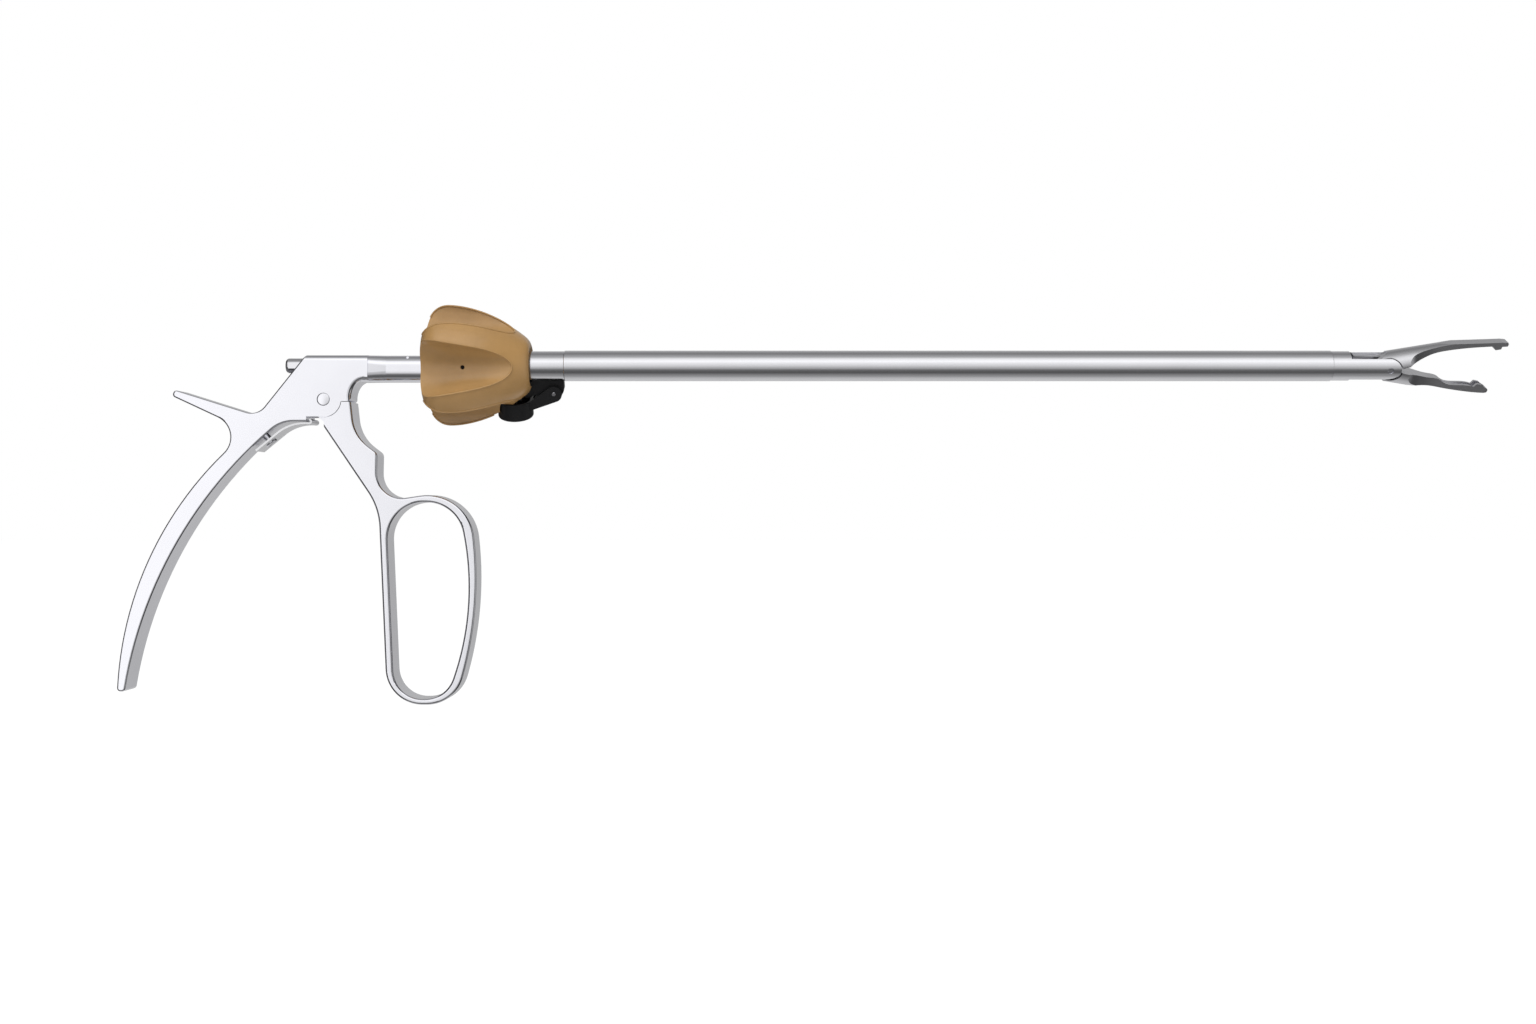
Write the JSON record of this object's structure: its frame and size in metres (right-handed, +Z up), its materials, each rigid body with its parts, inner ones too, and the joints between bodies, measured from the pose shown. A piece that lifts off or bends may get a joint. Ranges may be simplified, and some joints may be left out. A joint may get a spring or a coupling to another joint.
{
  "type": "laparoscopic clip applier",
  "caption": "Hand-held laparoscopic clip applier: squeeze handles drive a rod in a slim rotating shaft that closes angled clip jaws.",
  "frame": {"origin": "on the shaft's axis, straight above the handle pivot, in the middle of the handles' thickness", "axes": "+X along the shaft towards the jaws, +Z up away from the finger loop, +Y away from the viewer, so the handles lie in the XZ plane"},
  "size_m": [0.4529, 0.0385, 0.1304],
  "materials": {
    "handle_steel": "satin",
    "pin_steel": "smooth",
    "spring_steel": "satin",
    "bush_bronze": "turned",
    "rod_steel": "ground",
    "nut_steel": "polished",
    "seal_rubber": "matt",
    "tube_steel": "polished",
    "guide_plastic": "matt",
    "knob_plastic": "moulded satin",
    "cap_plastic": "moulded",
    "jaw_steel": "satin"
  },
  "bodies": {
    "handle": {"rear_handle": "handle_steel", "pivot_pin": "pin_steel", "return_spring": "spring_steel", "spring_screw": "pin_steel", "barrel_retaining_pin": "pin_steel", "barrel_bush": "bush_bronze"},
    "front_handle": {"front_handle": "handle_steel"},
    "shaft": {"swivel_journal": "rod_steel", "rod_seal": "seal_rubber", "outer_tube": "tube_steel", "rod_guides": "guide_plastic", "knob_sleeve": "rod_steel", "rotation_knob": "knob_plastic", "knob_set_screw": "pin_steel", "flush_port_stem": "tube_steel", "port_bracket": "cap_plastic", "cap_hinge_pin": "pin_steel", "tube_tip": "tube_steel", "jaw_pivot_pin": "pin_steel", "hub_spacer": "pin_steel"},
    "push_rod": {"push_rod": "rod_steel", "drive_ball": "pin_steel", "rod_tail_nut": "nut_steel", "drive_block": "rod_steel", "drive_pin": "pin_steel"},
    "upper_jaw": {"upper_jaw": "jaw_steel"},
    "lower_jaw": {"lower_jaw": "jaw_steel"},
    "port_cap": {"port_cap": "cap_plastic", "cap_plug": "seal_rubber"}
  },
  "joints": [
    {"name": "trigger_squeeze", "type": "hinge", "parent": "handle", "child": "front_handle", "pos_m": [0, 0, -0.0113], "axis": [0, 1, 0], "range_deg": [0, 28], "stiffness_Nm_per_rad": 1.2, "springref_deg": -8.59},
    {"name": "knob_turn", "type": "hinge", "parent": "handle", "child": "shaft", "pos_m": [0.04, 0, 0], "axis": [1, 0, 0], "continuous": true},
    {"name": "rod_slide", "type": "slide", "parent": "shaft", "child": "push_rod", "axis": [1, 0, 0], "range_m": [0, 0.00569]},
    {"name": "upper_jaw_hinge", "type": "hinge", "parent": "shaft", "child": "upper_jaw", "pos_m": [0.3474, 0, 0], "axis": [0, 0.9063, 0.4226], "range_deg": [0, 10]},
    {"name": "lower_jaw_hinge", "type": "hinge", "parent": "shaft", "child": "lower_jaw", "pos_m": [0.3474, 0, 0], "axis": [0, -0.9063, -0.4226], "range_deg": [0, 10]},
    {"name": "cap_hinge", "type": "hinge", "parent": "shaft", "child": "port_cap", "pos_m": [0.074, 0.0038, -0.00816], "axis": [0, -0.9063, -0.4226], "range_deg": [0, 75]}
  ],
  "couplings": [
    {"joint": "rod_slide", "follows": "trigger_squeeze", "m_per_rad": 0.011625},
    {"joint": "upper_jaw_hinge", "follows": "trigger_squeeze", "ratio": 0.35714},
    {"joint": "lower_jaw_hinge", "follows": "trigger_squeeze", "ratio": 0.35714}
  ]
}
